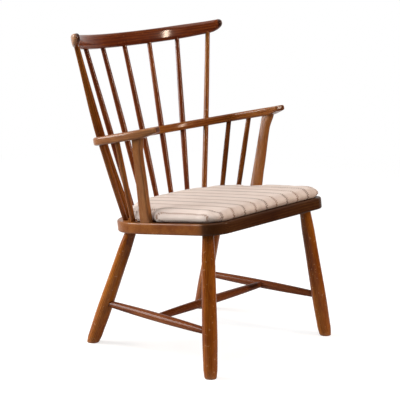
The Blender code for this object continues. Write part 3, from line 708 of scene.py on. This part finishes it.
crestRail = {
    "plane": tiltedPlane(0.8315, 0.2766, 14.0),
    "stickSpacing": 0.0980,
    "radius": 0.600, "tightening": 0.255,
    "hookStart": 0.0120, "hookRadius": 0.056, "turn": 78.0,
    "tall": 0.0405, "tallEnd": 0.0350,
    "tallBy": 0.45,  # this far from its end to its middle it is at its full height
    "width": 0.0200,  # front to back
    "roundness": 3.4,
    "tipRound": 0.0095,  # of its upper corner
    "tipFlat": 0.45,
    "tipRise": (0.044, 0.0225),  # its underside curves up over this length, by this much
    "tips": (0, 0.03, 0.1, 0.2, 0.35, 0.5, 0.7, 1),
    "inner": 1.3,
    # the outsides of its ends get a painted highlight over this reach, where the light falls
    "topWear": 0.144, "endHighlight": 1.2, "endHighlightReach": 0.035,
    "endGrime": 0.85, "grimeReach": 0.0075,
}


def crestHeading(s):
    # s / radius + tightening * (s / outer stick)^3, then it turns on the hook radius
    c = crestRail
    outer = 3 * c["stickSpacing"]
    hook = outer + c["hookStart"]
    bow = np.minimum(s, hook)
    return bow / c["radius"] + c["tightening"] * (bow / outer) ** 3 + np.maximum(s - hook, 0) / c["hookRadius"]


def crestLine():
    # the sum of small steps (cos heading, -sin heading) from the middle out, and its mirror image
    s = np.linspace(0, 0.5, 5001)
    heading = crestHeading(s)
    keep = heading < math.radians(crestRail["turn"])
    step = s[1]
    x = np.cumsum(np.cos(heading) * step)[keep] - step
    y = -np.cumsum(np.sin(heading) * step)[keep]
    right = np.stack([x, y], -1)
    return np.concatenate([right[:0:-1] * (-1, 1), right])


def quarter(distance, length):
    # a quarter circle's fall towards the tip: 0 from this length on, 1 at the tip
    return 1 - np.sqrt(1 - share(distance, length, 0) ** 2)


def closed(values, outwards=(0, 0)):
    # adds the end faces: the end rings drawn in towards their middles, and moved outwards by so much
    middle = values[[0, -1]].mean(1, keepdims=True)[:, None]
    head, tail = middle + (values[[0, -1], None] - middle) * bentShape["faceRings"]
    return np.concatenate([head + outwards[0], values, (tail + outwards[1])[::-1]])


def bentPiece(name, line, p, heightsAt, marksAt):
    # a rounded oblong carried along a bent line: point + side * w + up * h, with end faces in low domes.
    # The rings are even along it, with closer ones where its tips round over.
    length = measured(line)[-1]
    tips, inner = p["tipRound"] * np.array(p["tips"]), p["tipRound"] * p["inner"]
    stations = np.concatenate([tips, np.linspace(inner, length - inner, bentShape["rings"]), length - tips[::-1]])
    middle = atLengths(line, stations)
    before, after = np.maximum(stations - 1e-4, 0), np.minimum(stations + 1e-4, length)
    tangent = unit(atLengths(line, after) - atLengths(line, before))
    side = np.stack([tangent[:, 1], -tangent[:, 0]], -1)
    tip = np.minimum(stations, length - stations)[:, None]
    low, high = heightsAt(tip)
    w, h = squircle(bentShape["tallness"], p["roundness"], bentShape["sides"])
    w = w * p["width"] * (1 - (1 - p["tipFlat"]) * quarter(tip, p["tipRound"]))
    h = h * (high - low) + (high + low) / 2
    points = np.concatenate([middle[:, None] + side[:, None] * w[..., None], h[..., None]], -1)
    dome = bentShape["faceDome"] * np.sqrt(1 - bentShape["faceRings"] ** 2)
    shape = closed(points, (-dome * (*tangent[0], 0), dome * (*tangent[-1], 0)))
    grain = closed(np.stack([w, h, stations[:, None] + 0 * w], -1))
    wear, grime = marksAt(tip, w, h)
    face = np.full((len(dome), w.shape[1]), bentShape["faceGrime"])
    wear, grime = np.concatenate([0 * face, wear, 0 * face]), np.concatenate([face, grime, face])
    return skin(name, on(p["plane"], shape), grain, wear=wear, grime=grime)


def makeArmBow(material):
    a = armBow
    half = np.array(a["line"])
    line = catmullRom(np.concatenate([half, half[-2::-1] * (-1, 1)]), a["steps"])

    def heights(tip):
        # its tips are thinned from below, evenly over the taper, and rounded over
        top, thick = a["thickness"] / 2, a["tipThickness"]
        drop = thick * (1 - a["tipFlat"]) / 2 * quarter(tip, a["tipRound"])
        return top - thick - (a["thickness"] - thick) * share(tip, 0, a["taper"]) + drop, top - drop

    def marks(tip, w, h):
        # rubbed by the hands near its tips, most on top, and a painted highlight along its outer edge
        over = a["handUnder"] + (1 - a["handUnder"]) * np.clip(h / a["thickness"] * 2, 0, 1)
        outside = np.clip(-2 * w / a["width"], 0, 1) ** 3
        return a["handWear"] * np.exp(-tip / a["handReach"]) * over + a["outsideHighlight"] * outside, 0 * w

    finished(bentPiece("armBowShape", line, a, heights, marks), material, "arm_bow")


def makeCrest(material):
    c = crestRail
    line = crestLine()
    half = measured(line)[-1] / 2

    def heights(tip):
        top = eased(tip, [(0, c["tallEnd"]), (half * c["tallBy"], c["tall"])]) / 2
        rise = c["tipRise"][1] * quarter(tip, c["tipRise"][0])
        return rise - top, top - c["tipRound"] * quarter(tip, c["tipRound"])

    def marks(tip, w, h):
        # rubbed pale a little on top, a painted highlight on the outside of its ends, and dark end grain
        outside = np.clip(0.2 - 2.4 * w / c["width"], 0, 1)
        wear = c["topWear"] * np.clip(h / c["tall"] * 2, 0, 1) ** 4
        wear = wear + c["endHighlight"] * np.exp(-((tip / c["endHighlightReach"]) ** 2)) * outside
        return wear, c["endGrime"] * np.exp(-((tip / c["grimeReach"]) ** 4)) * (1 - outside)

    finished(bentPiece("crestRailShape", line, c, heights, marks), material, "crest_rail")


turnedBeech = stainedBeech("stainedBeechTurned", "turned")
stickBeech = stainedBeech("stainedBeechSticks", "stick")
bentBeech = stainedBeech("stainedBeechSteamBent", "bent")
print("wood finishes made")

finished(makeSeat(), stainedBeech("stainedBeechBoard", "board"), "seat")
print("seat board made")

makeRoundSticks(stickBeech, bentBeech)
makeOuterSticks(bentBeech)
makePosts(bentBeech)
print("sticks and posts made")

makeLegs(turnedBeech)
# drawn darker: painted shade under the seat
makeStretchers(stainedBeech("stainedBeechStretchersShaded", "stretcher"))
print("legs and stretchers made")

makeArmBow(bentBeech)
makeCrest(stickBeech)
print("arm bow and crest rail made")


# Cushion

cushion = {
    "thick": (0.027, 0.039),  # front, back
    "roll": (0.019, 0.010),  # rounding of its edge, front and back
    "crown": 0.003,
    "setBack": 0.0055,  # from the seat's edges
    "corner": 0.046, "clear": 0.0030, "ear": 0.0085,
    "footInset": (0.0110, 0.0225),  # of the line of the sticks' feet: side, back
    "footCurve": 2.8,
    # its rings: share of the way out from the middle, inset in rolls, shares of the thickness and the crown
    "profile": ((0.10, 0, 0, 0), (0.60, 0, 0, 0), (0.85, 0, 0, 0), (1, 0.75, 0, 0), (1, 0.28, 0.09, 0),
                (1, 0.03, 0.27, 0), (1, 0, 0.47, 0), (1, 0.11, 0.69, 0), (1, 0.42, 0.90, 0), (1, 1, 1, 0),
                (0.80, 0, 1, 0.6), (0.45, 0, 1, 1), (0.1, 0, 1, 1)),
    "steps": 5,  # between two of those
    "over": 1.02,  # the smooth line through them may go past their shares this far
    "around": 720,  # points of its outline
    "lift": 0.0004,  # its underside stays this far off the board
    "swell": 0.0015,  # it starts this much smaller, and the filling blows it out
    "voxel": 0.0055, "frames": 18,
    "resting": 0.002,  # what is nearer to the board than this stays
    "cap": 0.0040,  # the furthest that a point moves
    "sideways": 0.45,  # share of the movement left across the board, to stay clear of the sticks
    "wrap": 0.0320,  # how far the sides draw the cloth over, beyond the flat
    "loop": ((-0.284, 0), (-0.228, 1), (-0.092, 1), (-0.036, 0)),  # where they do, from front to back
    "arc": 0.016,  # radius on which the cloth runs down the front
    "edgeAt": 0.42,  # where its edge stands out most, as a share of the thickness
}
filling = {
    "quality": 5, "mass": 0.25,
    "tension_stiffness": 12, "compression_stiffness": 12, "shear_stiffness": 4, "bending_stiffness": 0.4,
    "use_pressure": True, "uniform_pressure_force": 4,
    "shrink_min": -0.02,  # the cover is sewn a little larger than what fills it
}


def cushionOutline(count):
    # the seat's front and sides set back, a notch round each post, then a curve just in front of the sticks
    c, s, clear = cushion, seatBoard, cushion["clear"]
    postFoot = inside(s["plane"], post["foot"])
    wide = s["halfWidth"] - c["setBack"]
    front = s["front"] + c["setBack"]
    inner = abs(postFoot[0]) - post["thickness"] / 2 - clear
    reach = post["backEdge"] / 2 + clear
    before = postFoot[1] - reach - (post["depths"][0][1] - post["backEdge"])
    behind = postFoot[1] + reach
    stickFront = inside(s["plane"], roundSticks["arm_spindle_front_right"][0])[1] - stickSizes["arm"][0]
    side = [(wide, before - 4 * clear), (wide - clear, before - clear), (inner + clear, before),
            (inner, postFoot[1] - reach / 2), (inner, postFoot[1] + reach / 2), (inner + clear, behind),
            (inner + c["ear"], behind + clear), (inner + c["ear"], stickFront - 2 * clear),
            (inner + c["ear"] / 2, stickFront - clear)]
    atSide, atBack = (inset + stickSizes["back"][0] + clear for inset in c["footInset"])
    back = curvedBack(s["halfWidth"] - atSide, s["back"] - atBack, c["footCurve"])
    back = back[(back[:, 0] >= 0) & (back[:, 1] > stickFront)]
    right = np.concatenate([[(0, front)], frontCorner(wide, front, c["corner"], 30), side, back])
    # what is too near a stick is moved straight away from it
    feet = [(line[0], stickSizes[node.split("_")[0]][0]) for node, line in roundSticks.items()]
    for foot, radius in feet + [(outerStick["foot"], outerStick["wide"][0])]:
        place = inside(s["plane"], foot)[:2] * (-1, 1)
        away = right - place
        distance = np.linalg.norm(away, axis=1, keepdims=True)
        right = np.where(distance < radius + clear, place + away / distance * (radius + clear), right)
    return evenly(np.concatenate([right, right[-2:0:-1] * (-1, 1), right[:1]]), count)


def makeCushion(material):
    # a closed pad: rings of its outline drawn in towards the middle, at levels between the board and the crown
    c, s = cushion, seatBoard
    outline = cushionOutline(c["around"])
    normal = outward(outline)
    outline = outline - normal * c["swell"]
    middle = np.array([0, s["sideEnd"]])

    def sloping(pair, y):
        # evenly from the front's value to the back's
        return pair[0] + (pair[1] - pair[0]) * (y - outline[:, 1].min()) / np.ptp(outline[:, 1])

    roll = sloping(c["roll"], outline[:, 1])
    out, inset, rise, crown = catmullRom(c["profile"], c["steps"]).T[..., None]
    flat = middle + (outline - middle) * out[..., None] - unit(outline - middle) * (inset * roll)[..., None]
    thick = sloping(c["thick"], flat[..., 1]) - c["swell"]
    level = c["lift"] + thick * np.clip(rise, 0, c["over"]) + c["crown"] * np.clip(crown, 0, c["over"])
    rings = np.concatenate([flat, level[..., None]], -1)
    pad = skin("cushionPad", on(s["plane"], rings), rings)
    evenMesh(pad, c["voxel"])
    flat = inside(s["plane"], pointsOf(pad.data))
    edgeThick = sloping(c["thick"], outline[:, 1]) - c["swell"]
    store(pad.data, "weave", clothPlace(flat, outline, normal, edgeThick, roll))
    puffed = inside(s["plane"], inflate(pad, np.flatnonzero(flat[:, 2] < c["resting"])))
    move = puffed - flat
    far = np.linalg.norm(move, axis=1, keepdims=True) + 1e-9
    move = move / far * c["cap"] * np.tanh(far / c["cap"])  # eased towards the cap
    move[:, :2] *= c["sideways"]
    flat = flat + move
    flat[:, 2] = np.maximum(flat[:, 2], c["lift"])
    pad.data.vertices.foreach_set("co", np.ascontiguousarray(on(s["plane"], flat), np.float32).ravel())
    pad.data.shade_smooth()
    finer = pad.modifiers.new("finer", "SUBSURF")
    finer.levels = finer.render_levels = 1
    finished(pad, material, "seat_cushion")


def pointsOf(mesh):
    flat = np.empty(len(mesh.vertices) * 3, np.float32)
    mesh.vertices.foreach_get("co", flat)
    return flat.reshape(-1, 3).astype(float)


def evaluated(piece):
    return piece.evaluated_get(bpy.context.evaluated_depsgraph_get())


def evenMesh(piece, size):
    # replaces the mesh by one of even squares
    remesh = piece.modifiers.new("even", "REMESH")
    remesh.mode = "VOXEL"
    remesh.voxel_size = size
    shape = bpy.data.meshes.new_from_object(evaluated(piece))
    piece.modifiers.clear()
    piece.data = shape


def clothPlace(flat, outline, normal, thick, roll):
    # Cloth coordinates: across = x + wrap * loop(y) * (1 - inset / roll), so a stripe closes in a long loop on
    # each side, and along = y + ny |ny| * the arc length over the roll, so they run on down the front. n is the
    # outline's normal at the nearest point of it.
    nearest = np.concatenate([np.argmin(((some[:, None, :2] - outline) ** 2).sum(-1), axis=1)
                              for some in np.array_split(flat, 8)])
    n = normal[nearest]
    inset = np.clip(((outline[nearest] - flat[:, :2]) * n).sum(1) / roll[nearest], 0, 1)
    loop = np.sign(flat[:, 0]) * eased(flat[:, 1], cushion["loop"])
    lean = np.clip((flat[:, 2] / thick[nearest] - cushion["edgeAt"]) / (1 - cushion["edgeAt"]), -1, 1)
    arc = cushion["arc"] * (math.pi / 2 - np.arcsin(lean))
    across = flat[:, 0] + cushion["wrap"] * loop * (1 - inset)
    along = flat[:, 1] + n[:, 1] * np.abs(n[:, 1]) * arc
    return np.stack([across, along, flat[:, 2]], -1)


def inflate(piece, resting):
    # the cover is blown out by its filling; what lies on the board stays
    group = piece.vertex_groups.new(name="resting")
    group.add(resting.tolist(), 1.0, "REPLACE")
    cloth = piece.modifiers.new("filling", "CLOTH")
    for title, value in filling.items():
        setattr(cloth.settings, title, value)
    cloth.settings.vertex_group_mass = group.name
    cloth.settings.effector_weights.gravity = 0
    cloth.point_cache.frame_end = cushion["frames"]
    for number in range(1, cushion["frames"] + 1):
        bpy.context.scene.frame_set(number)
    points = pointsOf(evaluated(piece).data)
    piece.modifiers.clear()
    piece.vertex_groups.clear()
    bpy.context.scene.frame_set(1)
    return points


makeCushion(wovenStripe("wovenCottonStripe"))
print("cushion made")


# Floor, lights and camera

studio = {
    "floorSize": 60,
    "floorLevel": -0.0004,
    "paperFade": (1.2, 3.0),  # beyond these the floor is evenly white
    "paper": "#b4b4b4",
    "glow": 0.66,  # added to the paper that the camera sees, so that it shows white
    "paperEnds": (1.20, 1.45),  # a roll 2.7 m wide, running away behind the chair: its soft edge
    "offPaper": "#202020",
    "behind": (0.756, 0.6545, 0.0),  # the way that the roll runs
    "wall": (0.4, 0.9),  # reflections that look that way see white: the cosines from none to all of it
    "ambient": 0.22,
    "room": 0.06,  # what glossy surfaces see of the room in front of the chair
    "lampsAim": (0, 0, 0.4),
}
lamps = {
    # place, size, power, colour
    "key": ((-2.1, 3.25, 1.75), (2.4, 2.2), 240, "#ffffff"),
    "strip": ((0.92, -2.78, 1.72), (0.24, 1.1), 44, "#ffe4cc"),
    "top": ((-0.4, -0.6, 3.6), (3.6, 3.6), 77, "#ffffff"),
}
camera = {
    "place": (-3.0456, -2.6517, 1.2502), "turn": (78.09, 0, -49.12),
    "lens": 132.21, "sensor": 36, "farEnd": 60,
}


def whiteFor(tree, bearing):
    # where the white shows: to the camera, and to reflections that look behind the chair
    light = add(tree, "LightPath")
    glossy, through = (light, "Is Glossy Ray"), (light, "Is Transmission Ray")
    wall = add(tree, "MapRange", {"Value": bearing, **fromRange(studio["wall"])})
    mirror = add(tree, "Math", [glossy, through], operation="MAXIMUM")
    seen = add(tree, "Math", [mirror, wall], operation="MULTIPLY")
    seen = add(tree, "Math", [(light, "Is Camera Ray"), seen], operation="MAXIMUM")
    return seen, mirror  # and which rays are reflections


def makeFloor():
    # white paper: it shows white to the camera and in reflections, and keeps a soft part of the shadow
    size, level = studio["floorSize"] / 2, studio["floorLevel"]
    mesh = bpy.data.meshes.new("paperFloor")
    corners = [(x * size, y * size, level) for x, y in ((-1, -1), (1, -1), (1, 1), (-1, 1))]
    mesh.from_pydata(corners, [], [(0, 1, 2, 3)])
    material, tree, shader = newMaterial("whitePaper")
    place = (add(tree, "TexCoord"), "Object")
    reach = (add(tree, "VectorMath", [place], operation="LENGTH"), "Value")
    x, y, z = studio["behind"]
    behind, beside = ((add(tree, "VectorMath", [place, way], operation="DOT_PRODUCT"), "Value")
                      for way in ((x, y, z), (-y, x, z)))
    # distance off the roll's middle line, or before its end
    beside = add(tree, "Math", [beside], operation="ABSOLUTE")
    before = add(tree, "Math", [behind, -1.0], operation="MULTIPLY")
    off = add(tree, "Math", [beside, before], operation="MAXIMUM")
    lit = add(tree, "MapRange", {"Value": off, **fromRange(studio["paperEnds"]), "To Min": 1.0, "To Max": 0.0})
    bare, white = linear(studio["offPaper"]), linear(studio["paper"])
    paper = add(tree, "Mix", {"Factor": lit, 6: bare, 7: white}, data_type="RGBA")
    feed(tree, shader, {"Base Color": (paper, 2), "Roughness": 0.9})
    seen = whiteFor(tree, add(tree, "Math", [behind, reach], operation="DIVIDE"))[0]
    fill = add(tree, "MapRange", {"Value": lit, "To Min": 1.0, "To Max": studio["glow"]})
    strength = add(tree, "Math", [seen, fill], operation="MULTIPLY")
    glow = add(tree, "Emission", {"Strength": strength})
    near = add(tree, "AddShader", [shader, glow])
    far = add(tree, "MapRange", {"Value": reach, **fromRange(studio["paperFade"])})
    far = add(tree, "Math", [far, seen], operation="MULTIPLY")
    both = add(tree, "MixShader", [far, near, add(tree, "Emission")])
    feed(tree, tree.nodes["Material Output"], {"Surface": both})
    mesh.materials.append(material)
    placed("paperFloor", mesh)


def makeWorld():
    # white where the camera looks past the chair; reflections see white behind it and a dim room in front
    world = bpy.data.worlds.new("studio")
    world.use_nodes = True
    bpy.context.scene.world = world
    tree = world.node_tree
    way = (add(tree, "TexCoord"), "Generated")
    behind = (add(tree, "VectorMath", [way, studio["behind"]], operation="DOT_PRODUCT"), "Value")
    seen, mirror = whiteFor(tree, behind)
    dim = add(tree, "MapRange", {"Value": mirror, "To Min": studio["ambient"], "To Max": studio["room"]})
    strength = add(tree, "Mix", {"Factor": seen, "A": dim, "B": 1.0})
    feed(tree, tree.nodes["Background"], {"Color": (1, 1, 1, 1), "Strength": strength})


def makeLights():
    for name, (place, size, power, colour) in lamps.items():
        lamp = bpy.data.lights.new(name, "AREA")
        lamp.shape = "RECTANGLE"
        lamp.size, lamp.size_y = size
        lamp.energy = power
        lamp.color = linear(colour)[:3]
        thing = placed(name, lamp)
        thing.location = place
        aim = Vector(studio["lampsAim"]) - thing.location
        thing.rotation_euler = aim.to_track_quat("-Z", "Y").to_euler()


def makeCamera():
    data = bpy.data.cameras.new("camera")
    data.lens = camera["lens"]
    data.sensor_width = camera["sensor"]
    data.clip_end = camera["farEnd"]
    thing = placed("camera", data)
    thing.location = camera["place"]
    thing.rotation_euler = [math.radians(angle) for angle in camera["turn"]]
    bpy.context.scene.camera = thing


makeFloor()
makeWorld()
makeLights()
makeCamera()
bpy.context.scene.view_settings.view_transform = "Standard"
print("studio set up")
